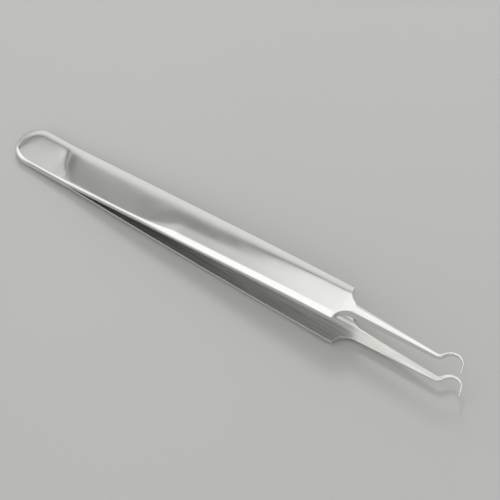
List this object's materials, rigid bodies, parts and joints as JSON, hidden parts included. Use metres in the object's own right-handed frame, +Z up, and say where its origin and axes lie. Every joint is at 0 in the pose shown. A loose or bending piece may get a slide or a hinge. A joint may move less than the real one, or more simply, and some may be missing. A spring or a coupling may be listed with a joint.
{
  "type": "hooked-point tweezers",
  "caption": "Fine-point tweezers of polished steel: spring strips welded together at a round tail, with slim shanks that end in small sideways hooks. The arms flex shut when squeezed.",
  "frame": {"origin": "on the table under the middle of the tool as it lies at rest on its lower arm", "axes": "+X along the tool from the round tail to the hooked points, +Z up, +Y to the side that the hooks bulge towards"},
  "size_m": [0.1162, 0.0096, 0.0116],
  "materials": {
    "polished_stainless": "polished stainless spring steel, satin on the inner faces",
    "weld_metal": "resistance weld nugget inside the joint"
  },
  "bodies": {
    "heel": {"upper_heel": "polished_stainless", "lower_heel": "polished_stainless", "spot_welds": "weld_metal"},
    "upper_arm": {"upper_arm": "polished_stainless"},
    "lower_arm": {"lower_arm": "polished_stainless"}
  },
  "joints": [
    {"name": "upper_flex", "type": "hinge", "parent": "heel", "child": "upper_arm", "pos_m": [-0.03411, 0, 0.00296], "axis": [0, 1, 0], "range_deg": [0, 2.44], "stiffness_Nm_per_rad": 2.4},
    {"name": "lower_flex", "type": "hinge", "parent": "heel", "child": "lower_arm", "pos_m": [-0.03404, 0, 0.00161], "axis": [0, 1, 0], "range_deg": [-2.44, 0], "stiffness_Nm_per_rad": 2.4}
  ],
  "couplings": [
    {"joint": "lower_flex", "follows": "upper_flex", "ratio": -1}
  ]
}
